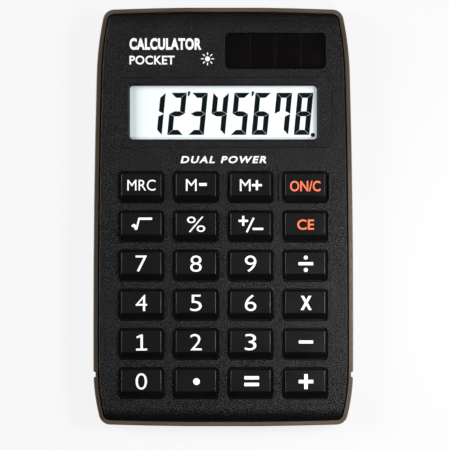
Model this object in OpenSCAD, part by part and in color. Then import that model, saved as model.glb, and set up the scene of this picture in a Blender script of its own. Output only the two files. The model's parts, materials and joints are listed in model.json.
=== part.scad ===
// Pocket calculator with eight digits, 24 keys, a solar cell and a button cell.
// Millimetres. The origin is the middle of the underside, +Z is up through the
// keys, +Y points to the display end and +X to the right.

/* [Body] */
// Length over both ends
body_l = 117.3; // [98:0.1:146]
// Width at the widest place
body_w = 72.8; // [72:0.2:92]
// Height of the front cover's face above the underside
face_h = 9.2; // [8.4:0.1:12]
// Distance from the lower end to the widest place
wide_from_end = 28.5; // [20:0.5:40]
// Radius of the long, nearly straight sides
side_r = 2600; // [1500:100:4000]
// How far from the upper end the sides start to close in
upper_bend_from_end = 18.8; // [12:0.1:24]
// Radius of the sides there
upper_bend_r = 90; // [60:1:140]
// How far from the lower end the sides start to close in
lower_bend_from_end = 15.5; // [12:0.5:20]
// Radius of the sides there
lower_bend_r = 52; // [40:1:90]
// Radius of the four outer corners
corner_r = 3.2; // [2.6:0.1:5]
// Radius of the upper end's slight crown
upper_crown_r = 800; // [400:50:2000]
// Radius of the lower end's slight crown
lower_crown_r = 1000; // [400:50:2000]

/* [Rear cover] */
// Height of the rear cover's rim
rim_h = 7; // [6:0.1:7.4]
// Width of the rim that shows round the front cover
rim_w = 1.2; // [1:0.05:1.4]
// Thickness of the rear cover's floor
floor_t = 1.3; // [1:0.1:1.6]
// Height of the ledge that the front cover stands on
ledge_h = 4; // [3.6:0.1:4.4]
// Width of that ledge, inside the rim
ledge_w = 1.7; // [1.5:0.1:2]
// Length of the notch in each side
notch_l = 2.1; // [1.5:0.1:4]
// Depth of that notch
notch_d = 0.6; // [0.3:0.05:0.7]
// Distance of the notches from the lower end
notch_from_end = 14.5; // [8:0.5:20]
// Width of the sunk label panel at the back
label_w = 40; // [20:1:46]
// Length of that panel
label_l = 24; // [15:1:40]
// Depth of that panel
label_d = 0.3; // [0.2:0.05:0.5]

/* [Front cover] */
// Gap between the rim and the front cover
rim_gap = 0.35; // [0.2:0.05:0.5]
// Thickness of the front cover's face
face_t = 1.5; // [1.2:0.1:1.8]
// Thickness of the front cover's side walls
wall_t = 1.4; // [1.2:0.1:1.6]
// Length of the slope at the display end
nose_l = 5; // [3:0.5:7]
// How far the face falls over that slope
nose_drop = 1.3; // [0.8:0.1:1.6]
// Length of the slope at the lower end
tail_l = 3.6; // [2.5:0.1:6]
// How far the face falls over that slope
tail_drop = 1.3; // [0.8:0.1:1.6]

/* [Keys] */
// Distance from one key to the next across the width
key_pitch_x = 15.25; // [15:0.05:16]
// Distance from one key to the next along the length
key_pitch_y = 10.95; // [10.6:0.05:11.5]
// Distance from the lower end to the middle of the lowest row
first_row_from_end = 12.2; // [12:0.1:14]
// Width of a key's opening
key_hole_w = 12.5; // [11:0.1:13]
// Length of a key's opening
key_hole_l = 8.9; // [8:0.1:9.3]
// Radius of the opening's corners
key_hole_r = 0.9; // [0.6:0.1:1.5]
// Gap round a key in its opening
key_gap = 0.5; // [0.3:0.05:0.7]
// How far a key stands above the face
key_proud = 1.3; // [1.1:0.1:1.8]
// How far a key goes down
key_travel = 1; // [0.6:0.05:1]
// Length of the slope at the front of a key
key_slope_l = 1.7; // [1:0.1:2.2]
// How far that slope falls
key_slope_drop = 0.9; // [0.5:0.1:1.1]
// Chamfer of a key's other upper edges
key_chamfer = 0.3; // [0.15:0.05:0.5]
// How far a key's flange reaches past its opening
flange_lap = 0.55; // [0.4:0.05:0.6]
// Thickness of that flange
flange_t = 0.8; // [0.6:0.1:1]
// Wall of the hollow key
key_wall = 1.1; // [0.9:0.1:1.3]
// Radius of the stem that presses the dome
stem_r = 1.9; // [1.5:0.1:2.2]
// Length of the ribs beside the ON/C key
guard_l = 7.6; // [5:0.1:8]
// Width of those ribs
guard_w = 0.8; // [0.5:0.1:0.9]
// Height of those ribs above the face
guard_h = 0.5; // [0.3:0.1:0.9]

/* [Display] */
// Distance from the display end to the middle of the display window
display_from_end = 29.5; // [28.5:0.1:32]
// Width of the sunk area round the display window
recess_w = 61; // [58:0.5:62]
// Length of that area
recess_l = 19.5; // [18:0.1:20]
// Radius of its corners
recess_r = 2.5; // [1:0.1:4]
// Depth of that area
recess_d = 0.35; // [0.2:0.05:0.5]
// Width of the display window
window_w = 52.2; // [50:0.1:53]
// Length of the display window
window_l = 14.9; // [14:0.1:15.2]
// Radius of the window's corners
window_r = 0.9; // [0.4:0.1:1.5]
// Width of the display glass
glass_w = 56; // [55:0.1:56.4]
// Thickness of each of the two glasses
glass_t = 0.55; // [0.4:0.05:0.6]
// Thickness of the polariser and of the reflector
film_t = 0.2; // [0.15:0.05:0.25]
// How far the rear glass reaches past the front glass
glass_ledge = 2.2; // [1.8:0.1:2.4]
// Thickness of the clear window
lens_t = 0.7; // [0.5:0.05:0.8]
// Thickness of the display's ribbon
ribbon_t = 0.12; // [0.08:0.01:0.2]
// Width of that ribbon
ribbon_w = 44; // [30:1:50]

/* [Solar cell] */
// Width of the solar window
solar_w = 28.2; // [26:0.1:30]
// Length of the solar window
solar_l = 10; // [9:0.1:11]
// Radius of the solar window's corners
solar_r = 1.5; // [0.6:0.1:2]
// Distance of the solar window's middle from the centre line
solar_x = 14.6; // [14:0.05:15]
// Distance of the solar window's middle from the display end
solar_from_end = 12.25; // [11.9:0.05:12.5]
// How far the cell reaches past its window
solar_lap = 0.8; // [0.5:0.1:1]
// Thickness of the cell
solar_t = 1.1; // [0.7:0.1:1.4]
// Thickness of the foam pad behind the cell
foam_t = 2; // [1:0.1:2.5]

/* [Button cell] */
// Diameter of the button cell
cell_d = 11.6; // [9.5:0.1:11.6]
// Height of the button cell
cell_h = 3.05; // [2.1:0.05:3.1]
// Distance of the button cell from the centre line
cell_x = -17; // [-18:0.1:-16]
// Distance of the button cell from the display end
cell_from_end = 11.8; // [11.5:0.1:12.1]
// Thickness of the cell's contacts
contact_t = 0.2; // [0.15:0.05:0.3]
// Wall of the cell's holder
holder_wall = 1.35; // [1:0.05:1.5]

/* [Board and rubber] */
// Thickness of the main board
board_t = 1; // [0.8:0.1:1.2]
// Gap between the board and the cover's walls, where the walls are closest
board_gap = 0.4; // [0.3:0.1:1.5]
// Thickness of the rubber keypad's sheet
sheet_t = 0.6; // [0.5:0.05:0.8]
// Radius of a dome at its foot
dome_r = 3.7; // [3:0.1:4]
// Radius of a carbon pill
pill_r = 1.6; // [1.2:0.1:1.8]
// Radius of the pins that hold the board
pin_r = 0.8; // [0.6:0.05:0.9]

/* [Screws] */
// Radius of a case screw's thread
case_thread_r = 0.8; // [0.7:0.05:0.9]
// Radius of a case screw's head
case_head_r = 1.5; // [1.3:0.05:1.6]
// Radius of a bracket screw's thread
bracket_thread_r = 0.6; // [0.5:0.05:0.65]
// Radius of a bracket screw's head
bracket_head_r = 1.3; // [1.1:0.05:1.4]
// Depth of the cross in a screw's head
cross_d = 0.5; // [0.3:0.05:0.7]

/* [Hidden] */
KEYS = [
    ["key_mrc", "key_m_minus", "key_m_plus", "key_on_c"],
    ["key_square_root", "key_percent", "key_plus_minus", "key_ce"],
    ["key_7", "key_8", "key_9", "key_divide"],
    ["key_4", "key_5", "key_6", "key_times"],
    ["key_1", "key_2", "key_3", "key_minus"],
    ["key_0", "key_point", "key_equals", "key_plus"]
];
CASE = ["rear_cover", "front_cover", "case_screws"];
DISPLAY = [
    "display_window", "front_polariser", "front_glass", "rear_glass",
    "rear_reflector", "display_ribbon", "display_bracket", "bracket_screws"
];
POWER = [
    "solar_cell", "solar_foam_pad", "solar_lead_red", "solar_lead_black", "button_cell",
    "cell_holder", "cell_contact_plus", "cell_contact_minus", "cell_lead_red", "cell_lead_black"
];
BOARD = [
    "main_board", "contact_pads", "controller_chip", "power_capacitor", "clamp_diode",
    "board_resistors", "rubber_keypad", "carbon_pills"
];

$fn = 48;
cut = 1;
thin = 0.01;

bronze = [0.28, 0.24, 0.20];
black_shell = [0.15, 0.15, 0.16];
black_key = [0.11, 0.11, 0.12];
clear = [0.85, 0.90, 0.92, 0.35];
pale_display = [0.88, 0.93, 0.91];
silver = [0.72, 0.73, 0.74];
dark_cell = [0.08, 0.06, 0.06];
foam_grey = [0.22, 0.22, 0.23];
red = [0.75, 0.12, 0.10];
black_wire = [0.07, 0.07, 0.07];
amber_film = [0.78, 0.50, 0.18];
board_green = [0.10, 0.36, 0.22];
carbon = [0.06, 0.06, 0.07];
rubber_grey = [0.45, 0.47, 0.48];

// Places along the length
upper_end = body_l / 2;
lower_end = -body_l / 2;
wide_y = lower_end + wide_from_end;
notch_y = lower_end + notch_from_end;
display_y = upper_end - display_from_end;
solar_y = upper_end - solar_from_end;
cell_y = upper_end - cell_from_end;

// Heights. The face's inner side carries the keys' flanges, the display and the solar cell.
face_under = face_h - face_t;
flange_clearance = 0.1;
flange_top = face_under - flange_clearance;
flange_under = flange_top - flange_t;
dome_gap = 0.05;
stem_under = flange_under - 0.2;
dome_top = stem_under - dome_gap;
key_top = face_h + key_proud;
dome_room = 2.15;
board_top = dome_top - dome_room;
board_under = board_top - board_t;
sheet_top = board_top + sheet_t;
pill_t = 0.25;
pill_top = stem_under - key_travel - 0.1;
pad_t = 0.05;

// Rear cover
label_r = 1.5;
notch_slope = 0.4;

// Front cover
cover_inset = rim_w + rim_gap;
cavity_inset = cover_inset + wall_t;
boss_under = ledge_h;
boss_r = 1.9;
boss_wall_gap = 0.3;
thread_clearance = 0.02;

// Keys
key_w = key_hole_w - 2 * key_gap;
key_l = key_hole_l - 2 * key_gap;
key_r = key_hole_r - 0.1;
flange_w = key_hole_w + 2 * flange_lap;
flange_l = key_hole_l + 2 * flange_lap;
flange_r = 1.2;
key_roof = 1.2;
hollow_r = 0.5;
hollow_w = key_w - 2 * key_wall;
hollow_l = key_l - 2 * key_wall;
guard_gap = 0.3;
guard_offset = (key_hole_w + guard_w) / 2 + guard_gap;
first_row_y = lower_end + first_row_from_end;
last_row_y = first_row_y + 5 * key_pitch_y;

// Display stack, from the front
film_clearance = 0.1;
lens_under = face_under - lens_t;
front_film_top = lens_under - film_clearance;
front_glass_top = front_film_top - film_t;
rear_glass_top = front_glass_top - glass_t;
reflector_top = rear_glass_top - glass_t;
bracket_top = reflector_top - film_t;
bracket_t = 1;
bracket_under = bracket_top - bracket_t;
glass_lap = 1;
lens_lap = 0.3;
lens_r = 0.5;
film_inset = 0.25;
film_w = glass_w - 2 * film_inset;
front_glass_l = window_l + 2 * glass_lap;
rear_glass_l = front_glass_l + glass_ledge;
rear_glass_y = display_y - glass_ledge / 2;
glass_clearance = 0.15;
bracket_wall = 0.8;
bracket_shift = 0.2;
bracket_l = rear_glass_l + bracket_wall;
bracket_ear_l = 13;
glass_room_w = glass_w + 2 * glass_clearance;
bracket_lip_w = glass_room_w + 2 * bracket_wall;
bracket_lip_h = rear_glass_top + glass_t - bracket_top;
open_w = glass_w - 12;
open_l = rear_glass_l - 8;
open_r = 2;
ribbon_clearance = 0.25;
ribbon_lap = 2.5;

// Board and rubber
board_upper_y = last_row_y + 8.9;
board_lower_y = first_row_y - 4.75;
board_l = board_upper_y - board_lower_y;
board_w = 2 * (inner_half(board_lower_y) - board_gap);
board_r = 1.5;
board_y = (board_upper_y + board_lower_y) / 2;
sheet_w = board_w - 0.6;
sheet_upper_y = board_upper_y - 3.2;
sheet_lower_y = board_lower_y + 0.3;
dome_top_r = 2.3;
dome_wall = 0.5;
dome_rim_h = 0.25;
pill_gap = 0.3;
sheet_pin_gap = 0.3;
pad_r = 2.4;
pad_split = 0.4;
pin_clearance = 0.1;
pin_head_r = 1.5;
pin_head_t = 0.5;
board_post_r = 1.4;
drop_r = 5;
drop_floor_gap = 0.7;
capacitor = [3.5, 2.8, 1.6];
resistor = [2, 1.25, 0.5];
resistor_pitch = 4;
diode_r = 0.7;
diode_l = 3.5;

// Solar cell and foam
solar_top = face_under;
solar_under = solar_top - solar_t;
foam_under = solar_under - foam_t;
foam_w = solar_w - 8;
foam_l = solar_l - 2;
foam_rib_y = 2.5;
foam_rib_w = 1;
foam_rib_l = foam_w - 2;

// Button cell: the contacts lie against its two faces
holder_roof_t = 0.7;
contact_room = 0.45;
cell_top = face_under - holder_roof_t - contact_room;
cell_under = cell_top - cell_h;
cell_clearance = 0.15;
holder_in_r = cell_d / 2 + cell_clearance;
holder_r = holder_in_r + holder_wall;
contact_tab_w = 2.4;
plus_tab_x = cell_x - holder_r - 1.3;
minus_tab_x = plus_tab_x - 1.6;
tab_to_lead = 0.6;
plus_disc_r = 2.6;
minus_disc_r = 3.4;
minus_dimple_r = 1.2;
cell_cap_h = 0.35;
cell_cap_step = 0.9;

// Screws
case_head_t = 1.2;
case_head_top = 2.4;
screw_clearance = 0.15;
case_well_r = case_head_r + screw_clearance;
case_tube_wall = 0.65;
case_tube_r = case_well_r + case_tube_wall;
case_thread_l = face_under - 0.7 - case_head_top;
bracket_head_t = 0.8;
bracket_boss_r = 1.4;
bracket_thread_l = face_under - 0.4 - bracket_under;
boss_hole_end = face_under - 0.3;
cross_w = 0.35;
cross_share = 1.3;
lead_r = 0.45;
lead_z = floor_t + lead_r + 0.55;
lead_pitch = 1.6;
lead_end_y = board_upper_y - 2;
solar_lead_x = solar_x + solar_w / 2 - 1;

// Half the width inside the front cover's walls, at distance y along the length
function inner_half(y) = body_w / 2 - cavity_inset - side_drop(y);
// How much narrower than its widest place the body is at distance y
function side_drop(y) = bend_drop(y - (upper_end - upper_bend_from_end), upper_bend_r)
    + bend_drop(lower_end + lower_bend_from_end - y, lower_bend_r) + pow(y - wide_y, 2) / (2 * side_r);
function bend_drop(d, r) = d > 0 ? d * d / (2 * r) : 0;

case_boss_y = display_y + 9;
bracket_boss_x = bracket_lip_w / 2 + bracket_boss_r + 0.1;
boss_bracket_gap = 0.1;
case_boss_x = max(
    inner_half(case_boss_y) - boss_r + boss_wall_gap,
    bracket_lip_w / 2 + boss_bracket_gap + boss_r
);
foot_boss_x = key_pitch_x + 10.75;
foot_boss_y = lower_end + cover_inset + wall_t + boss_r - 0.1;
CASE_SCREWS = [
    [case_boss_x, case_boss_y], [-case_boss_x, case_boss_y],
    [foot_boss_x, foot_boss_y], [-foot_boss_x, foot_boss_y],
    [(cell_x + holder_r + solar_x - solar_w / 2 - solar_lap) / 2, upper_end - 7.5]
];
bracket_screw_y = -2;
BRACKET_SCREWS = [
    for (x = [-bracket_boss_x, bracket_boss_x], y = [-1, 1])
        [x, display_y + bracket_screw_y + y * (bracket_ear_l / 2 - bracket_boss_r - 0.4)]
];
PINS = [
    [-key_pitch_x, last_row_y - key_pitch_y / 2], [key_pitch_x, last_row_y - key_pitch_y / 2],
    [-key_pitch_x, first_row_y + key_pitch_y / 2], [key_pitch_x, first_row_y + key_pitch_y / 2],
    [0, first_row_y + 2.5 * key_pitch_y]
];
post_x = board_w / 2 - 2;
POSTS = [for (x = [-post_x, post_x], y = [board_lower_y + 5, board_y, board_upper_y - 6]) [x, y]];

function key_x(column) = (column - 1.5) * key_pitch_x;
function key_y(row) = last_row_y - row * key_pitch_y;

// ---- Outline -----------------------------------------------------------------

// n points along an arc, without its last point
function arc(c, r, a0, a1, n) = [
    for (i = [0:n - 1]) let (a = a0 + (a1 - a0) * i / n) c + r * [cos(a), sin(a)]
];

// Centre of a circle of radius r that touches, from inside, a circle at c1 and one at c2
function corner_centre(c1, r1, c2, r2, r) =
    let (d = norm(c2 - c1))
    let (u = (c2 - c1) / d)
    let (a = (pow(r1 - r, 2) - pow(r2 - r, 2) + d * d) / (2 * d))
    c1 + a * u + sqrt(pow(r1 - r, 2) - a * a) * [-u[1], u[0]];

function direction(v) = atan2(v[1], v[0]);

// A quarter of the outline, from the widest place to an end that is len away
function quarter(len, bend_y, bend_r, crown_r, inset, r) =
    let (c1 = [body_w / 2 - side_r, 0])
    let (a1 = asin(bend_y / side_r))
    let (c2 = c1 + (side_r - bend_r) * [cos(a1), sin(a1)])
    let (c4 = [0, len - crown_r])
    let (c3 = corner_centre(c2, bend_r - inset, c4, crown_r - inset, r))
    let (a2 = direction(c3 - c2))
    let (a3 = direction(c3 - c4))
    concat(
        arc(c1, side_r - inset, 0, a1, 4),
        arc(c2, bend_r - inset, a1, a2, 6),
        arc(c3, r, a2, a3, 9),
        arc(c4, crown_r - inset, a3, 90, 3)
    );

function backwards(list) = [for (i = [len(list) - 1:-1:0]) list[i]];

// The body's outline, moved in by inset, with corners of at least 0.7 mm
function outline(inset) =
    let (r = max(corner_r - inset, 0.7))
    let (up = quarter(
        upper_end - wide_y, upper_end - upper_bend_from_end - wide_y, upper_bend_r, upper_crown_r, inset, r))
    let (all_down = quarter(
        wide_y - lower_end, wide_y - lower_end - lower_bend_from_end, lower_bend_r, lower_crown_r, inset, r))
    let (down = [for (i = [1:len(all_down) - 1]) all_down[i]])
    [for (p = concat(
        up,
        [for (q = backwards(up)) [-q[0], q[1]]],
        [for (q = down) [-q[0], -q[1]]],
        [for (q = backwards(down)) [q[0], -q[1]]]
    )) p + [0, wide_y]];

// The outline as a plate from z0 to z1
module plate(z0, z1, inset) {
    translate([0, 0, z0]) linear_extrude(z1 - z0) polygon(outline(inset));
}

// ---- Shared shapes -----------------------------------------------------------

module rounded_rect(w, l, r) {
    square([w - 2 * r, l], center = true);
    square([w, l - 2 * r], center = true);
    for (x = [-1, 1], y = [-1, 1]) translate([x * (w / 2 - r), y * (l / 2 - r)]) circle(r);
}

module rounded_block(w, l, r, z0, z1) {
    translate([0, 0, z0]) linear_extrude(z1 - z0) rounded_rect(w, l, r);
}

module block(w, l, z0, z1) {
    translate([-w / 2, -l / 2, z0]) cube([w, l, z1 - z0]);
}

module rod(r, z0, z1) {
    translate([0, 0, z0]) cylinder(r = r, h = z1 - z0);
}

module at_keys() {
    for (row = [0:5], column = [0:3]) translate([key_x(column), key_y(row), 0]) children();
}

module at_each(places) {
    for (p = places) translate([p[0], p[1], 0]) children();
}

// A self-tapping screw that points up, with a cross in its head
module screw(thread_r, thread_l, head_r, head_t, head_top) {
    difference() {
        rod(head_r, head_top - head_t, head_top);
        for (turn = [0, 90]) rotate(turn)
            block(head_r * cross_share, cross_w, head_top - head_t - cut, head_top - head_t + cross_d);
    }
    rod(thread_r, head_top, head_top + thread_l);
}

// A lead that follows straight stretches between points
module lead(points) {
    for (i = [0:len(points) - 2]) stretch(points[i], points[i + 1]);
    for (i = [1:len(points) - 2]) translate(points[i]) sphere(lead_r);
}

module stretch(a, b) {
    v = b - a;
    translate(a) rotate([0, acos(v[2] / norm(v)), atan2(v[1], v[0])]) cylinder(r = lead_r, h = norm(v));
}

// ---- Case --------------------------------------------------------------------

module rear_cover() {
    color(bronze) {
        difference() {
            plate(0, rim_h, 0);
            plate(ledge_h, rim_h + cut, rim_w);
            plate(floor_t, ledge_h + cut, rim_w + ledge_w);
            for (side = [-1, 1]) notch(side);
            rounded_block(label_w, label_l, label_r, -cut, label_d);
            at_each(CASE_SCREWS) case_hole();
        }
        intersection() {
            union() {
                at_each(CASE_SCREWS) case_tube();
                at_each(POSTS) rod(board_post_r, floor_t, board_under);
            }
            plate(0, max(ledge_h, board_under), rim_w / 2);
        }
        for (side = [-1, 1]) translate([solar_x, solar_y + side * foam_rib_y, 0])
            block(foam_rib_l, foam_rib_w, floor_t, foam_under);
    }
}

// A notch with sloped ends in one side of the rim
module notch(side) {
    x = body_w / 2 - side_drop(notch_y);
    shape = [
        [x - notch_d, -notch_l / 2 + notch_slope], [x + cut, -notch_l / 2 - notch_slope],
        [x + cut, notch_l / 2 + notch_slope], [x - notch_d, notch_l / 2 - notch_slope]
    ];
    mirror([side < 0 ? 1 : 0, 0, 0]) translate([0, notch_y, -cut])
        linear_extrude(rim_h + 2 * cut) polygon(shape);
}

// The tube that a case screw passes, with the well for its head
module case_tube() {
    difference() {
        rod(case_tube_r, 0, boss_under);
        case_hole();
    }
}

module case_hole() {
    rod(case_well_r, -cut, case_head_top);
    rod(case_thread_r + screw_clearance, 0, boss_under + cut);
}

module front_cover() {
    color(black_shell) {
        difference() {
            cover_shell();
            at_keys() rounded_block(key_hole_w, key_hole_l, key_hole_r, face_under - cut, face_h + cut);
            translate([0, display_y, 0]) display_cuts();
            translate([solar_x, solar_y, 0])
                rounded_block(solar_w, solar_l, solar_r, face_under - cut, face_h + cut);
        }
        at_each(CASE_SCREWS) cover_boss(boss_r, case_thread_r, boss_under);
        at_each(BRACKET_SCREWS) cover_boss(bracket_boss_r, bracket_thread_r, bracket_top);
        at_each(PINS) melted_pin();
        for (side = [-1, 1]) translate([key_x(3) + side * guard_offset, key_y(0), 0]) guard_rib();
    }
}

// The hollow shell, before its openings
module cover_shell() {
    difference() {
        intersection() {
            plate(ledge_h, face_h, cover_inset);
            rotate([90, 0, 90]) translate([0, 0, -body_w]) linear_extrude(2 * body_w) polygon(side_profile());
        }
        plate(ledge_h - cut, face_under, cavity_inset);
    }
}

// The cover seen from the side, as [y, z]: a flat face that curves down at both ends
function side_profile() =
    let (nose_r = (nose_l * nose_l + nose_drop * nose_drop) / (2 * nose_drop))
    let (tail_r = (tail_l * tail_l + tail_drop * tail_drop) / (2 * tail_drop))
    let (nose_y = upper_end - cover_inset)
    let (tail_y = lower_end + cover_inset)
    concat(
        [[tail_y - cut, 0], [nose_y + cut, 0], [nose_y + cut, face_h - nose_drop - 0.6]],
        arc([nose_y - nose_l, face_h - nose_r], nose_r, 90 - asin(nose_l / nose_r), 90, 8),
        [[nose_y - nose_l, face_h]],
        arc([tail_y + tail_l, face_h - tail_r], tail_r, 90, 90 + asin(tail_l / tail_r), 8),
        [[tail_y, face_h - tail_drop], [tail_y - cut, face_h - tail_drop - 0.6]]
    );

// The sunk area and the window in it
module display_cuts() {
    rounded_block(recess_w, recess_l, recess_r, face_h - recess_d, face_h + cut);
    rounded_block(window_w, window_l, window_r, face_under - cut, face_h);
}

// A boss that hangs from the face, with the hole for a screw's thread
module cover_boss(r, thread_r, under) {
    difference() {
        rod(r, under, face_under + thin);
        rod(thread_r + thread_clearance, under - cut, boss_hole_end);
    }
}

// A pin through the rubber and the board, melted over behind the board
module melted_pin() {
    rod(pin_r, board_under, face_under + thin);
    translate([0, 0, board_under - pin_head_t]) cylinder(r1 = pin_r, r2 = pin_head_r, h = pin_head_t);
}

module guard_rib() {
    rounded_block(guard_w, guard_l, guard_w / 2 - thin, face_h - face_t / 2, face_h + guard_h);
}

module case_screws() {
    color(silver) at_each(CASE_SCREWS)
        screw(case_thread_r, case_thread_l, case_head_r, case_head_t, case_head_top);
}

// ---- Display -----------------------------------------------------------------

module display_window() {
    color(clear) translate([0, display_y, 0])
        rounded_block(glass_w + 2 * lens_lap, front_glass_l + 2 * lens_lap, lens_r, lens_under, face_under);
}

module front_polariser() {
    color(pale_display) translate([0, display_y, 0])
        block(film_w, front_glass_l - 2 * film_inset, front_film_top - film_t, front_film_top);
}

module front_glass() {
    color(clear) translate([0, display_y, 0])
        block(glass_w, front_glass_l, front_glass_top - glass_t, front_glass_top);
}

module rear_glass() {
    color(clear) translate([0, rear_glass_y, 0])
        block(glass_w, rear_glass_l, rear_glass_top - glass_t, rear_glass_top);
}

module rear_reflector() {
    color(silver) translate([0, rear_glass_y, 0])
        block(film_w, rear_glass_l - 2 * film_inset, reflector_top - film_t, reflector_top);
}

// From the rear glass's ledge down to the board
module display_ribbon() {
    ledge_y = display_y - front_glass_l / 2 - ribbon_clearance;
    drop_y = rear_glass_y - rear_glass_l / 2 - ribbon_clearance;
    board_edge_y = board_upper_y - 0.8;
    under = [
        [ledge_y, rear_glass_top], [drop_y, rear_glass_top],
        [board_edge_y, board_top], [board_upper_y - ribbon_lap, board_top]
    ];
    over = [for (p = backwards(under)) p + [0, ribbon_t]];
    color(amber_film) rotate([90, 0, 90]) translate([0, 0, -ribbon_w / 2])
        linear_extrude(ribbon_w) polygon(concat(under, over));
}

// A plate with a lip round the glass, open where the ribbon leaves
module display_bracket() {
    lip_l = rear_glass_l + glass_clearance + bracket_wall;
    color(black_shell) difference() {
        union() {
            translate([0, rear_glass_y + bracket_shift, 0])
                block(bracket_lip_w, bracket_l, bracket_under, bracket_top);
            translate([0, display_y + bracket_screw_y, 0])
                block(2 * (bracket_boss_x + bracket_boss_r), bracket_ear_l, bracket_under, bracket_top);
            translate([0, rear_glass_y + (glass_clearance + bracket_wall) / 2, 0])
                block(bracket_lip_w, lip_l, bracket_top, bracket_top + bracket_lip_h);
        }
        translate([0, rear_glass_y - cut, 0])
            block(glass_room_w, rear_glass_l + 2 * (glass_clearance + cut), bracket_top, face_h);
        translate([0, rear_glass_y, 0])
            rounded_block(open_w, open_l, open_r, bracket_under - cut, bracket_top + cut);
        at_each(BRACKET_SCREWS)
            rod(bracket_thread_r + screw_clearance, bracket_under - cut, bracket_top + cut);
    }
}

module bracket_screws() {
    color(silver) at_each(BRACKET_SCREWS)
        screw(bracket_thread_r, bracket_thread_l, bracket_head_r, bracket_head_t, bracket_under);
}

// ---- Power -------------------------------------------------------------------

module solar_cell() {
    color(dark_cell) translate([solar_x, solar_y, 0])
        block(solar_w + 2 * solar_lap, solar_l + 2 * solar_lap, solar_under, solar_top);
}

module solar_foam_pad() {
    color(foam_grey) translate([solar_x, solar_y, 0]) block(foam_w, foam_l, foam_under, solar_under);
}

// From a contact down to the floor, along it and up to the board
function lead_path(x, y, z) = [
    [x, y, z], [x, y, lead_z], [x, lead_end_y, lead_z], [x, lead_end_y, board_under]
];

module solar_lead_red() {
    color(red) lead(lead_path(solar_lead_x, solar_y - solar_l / 2, solar_under));
}

module solar_lead_black() {
    color(black_wire) lead(lead_path(solar_lead_x - lead_pitch, solar_y - solar_l / 2, solar_under));
}

module button_cell() {
    color(silver) translate([cell_x, cell_y, 0]) {
        rod(cell_d / 2, cell_under, cell_top - cell_cap_h);
        rod(cell_d / 2 - cell_cap_step, cell_top - cell_cap_h, cell_top);
    }
}

// A cup that hangs from the face and is open below
module cell_holder() {
    color(black_shell) translate([cell_x, cell_y, 0]) difference() {
        rod(holder_r, cell_under, face_under);
        rod(holder_in_r, cell_under - cut, face_under - holder_roof_t);
        translate([-holder_r, 0, 0])
            block(2 * holder_wall + 2, contact_tab_w + 0.4, cell_top - contact_t, face_under - holder_roof_t);
    }
}

module cell_contact_plus() {
    color(silver) translate([cell_x, cell_y, cell_under - contact_t]) {
        rod(plus_disc_r, 0, contact_t);
        translate([plus_tab_x - cell_x, -contact_tab_w / 2, 0])
            cube([holder_r + cell_x - plus_tab_x, contact_tab_w, contact_t]);
    }
}

module cell_contact_minus() {
    roof = face_under - holder_roof_t;
    color(silver) translate([cell_x, cell_y, 0]) {
        rod(minus_disc_r, roof - contact_t, roof);
        rod(minus_dimple_r, cell_top, roof);
        translate([minus_tab_x - cell_x, -contact_tab_w / 2, roof - contact_t])
            cube([cell_x - minus_tab_x, contact_tab_w, contact_t]);
    }
}

module cell_lead_red() {
    color(red) lead(lead_path(plus_tab_x + tab_to_lead, cell_y, cell_under - contact_t));
}

module cell_lead_black() {
    roof = face_under - holder_roof_t;
    color(black_wire) lead(lead_path(minus_tab_x + tab_to_lead, cell_y, roof - contact_t));
}

// ---- Board and rubber --------------------------------------------------------

module main_board() {
    color(board_green) difference() {
        translate([0, board_y, 0]) rounded_block(board_w, board_l, board_r, board_under, board_top);
        at_each(PINS) rod(pin_r + pin_clearance, board_under - cut, board_top + cut);
    }
}

// Two half discs under each key
module contact_pads() {
    color(carbon) at_keys() difference() {
        rod(pad_r, board_top, board_top + pad_t);
        block(pad_split, 3 * pad_r, board_top - cut, board_top + cut);
    }
}

// The chip's round drop of black resin, under the board
module controller_chip() {
    drop_h = board_under - floor_t - drop_floor_gap;
    sphere_r = (drop_r * drop_r + drop_h * drop_h) / (2 * drop_h);
    color(carbon) translate([0, key_y(4) + key_pitch_y / 2, 0]) intersection() {
        translate([0, 0, board_under - drop_h + sphere_r]) sphere(sphere_r, $fn = 2 * $fn);
        block(3 * drop_r, 3 * drop_r, board_under - 2 * drop_h, board_under);
    }
}

module power_capacitor() {
    color(amber_film) translate([-key_pitch_x / 2, key_y(1), 0])
        block(capacitor[0], capacitor[1], board_under - capacitor[2], board_under);
}

module clamp_diode() {
    color(black_wire) translate([key_pitch_x / 2, key_y(1), board_under - diode_r])
        rotate([0, 90, 0]) cylinder(r = diode_r, h = diode_l, center = true);
}

module board_resistors() {
    color(carbon) for (i = [0:3]) translate([(i - 1.5) * resistor_pitch, key_y(0), 0])
        block(resistor[0], resistor[1], board_under - resistor[2], board_under);
}

module rubber_keypad() {
    color(rubber_grey) difference() {
        union() {
            translate([0, (sheet_upper_y + sheet_lower_y) / 2, 0])
                rounded_block(sheet_w, sheet_upper_y - sheet_lower_y, board_r, board_top, sheet_top);
            at_keys() rotate_extrude() polygon([
                [0, board_top + thin], [dome_r, board_top + thin], [dome_r, sheet_top],
                [dome_top_r, dome_top - dome_rim_h], [dome_top_r, dome_top], [0, dome_top]
            ]);
        }
        at_keys() rotate_extrude() polygon([
            [0, board_top - cut], [dome_r - dome_wall, board_top - cut],
            [dome_r - dome_wall, sheet_top - dome_wall / 5],
            [pill_r + pill_gap, pill_top], [0, pill_top]
        ]);
        at_each(PINS) rod(pin_r + sheet_pin_gap, board_top - cut, sheet_top + cut);
    }
}

module carbon_pills() {
    color(carbon) at_keys() rod(pill_r, pill_top - pill_t, pill_top);
}

// ---- Keys --------------------------------------------------------------------

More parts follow.
